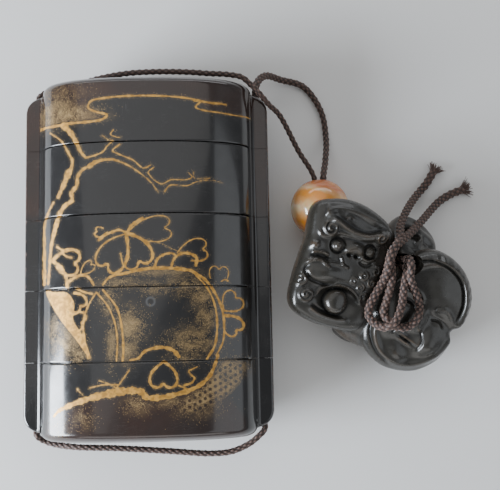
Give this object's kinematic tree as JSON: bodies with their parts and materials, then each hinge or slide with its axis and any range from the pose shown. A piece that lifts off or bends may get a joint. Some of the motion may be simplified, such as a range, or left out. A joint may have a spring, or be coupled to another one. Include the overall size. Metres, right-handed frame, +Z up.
{
  "type": "inro case",
  "caption": "Stacked oval lacquered belt case lying on its back, tied by one silk cord that runs through a round stone bead to a carved toggle of masks.",
  "frame": {"origin": "middle of the case's outline in plan, on the surface that its back rests on", "axes": "+X across the case towards the side where the bead and toggle lie, +Y along the case towards its lid, +Z up out of its decorated front"},
  "size_m": [0.1149, 0.0991, 0.0248],
  "materials": {
    "lacquer": "polished black lacquer on thin wood, worn red-brown at the edges, with a worn gold picture on the front",
    "agate": "polished banded orange and cream agate",
    "dark_wood": "dark stained carved wood, hand polished on the high spots",
    "silk_cord": "round braided dark brown silk"
  },
  "bodies": {
    "root": {"lid": "lacquer", "case_1": "lacquer", "case_2": "lacquer", "case_3": "lacquer", "case_4": "lacquer", "ojime_bead": "agate", "netsuke": "dark_wood", "cord": "silk_cord"}
  },
  "joints": []
}
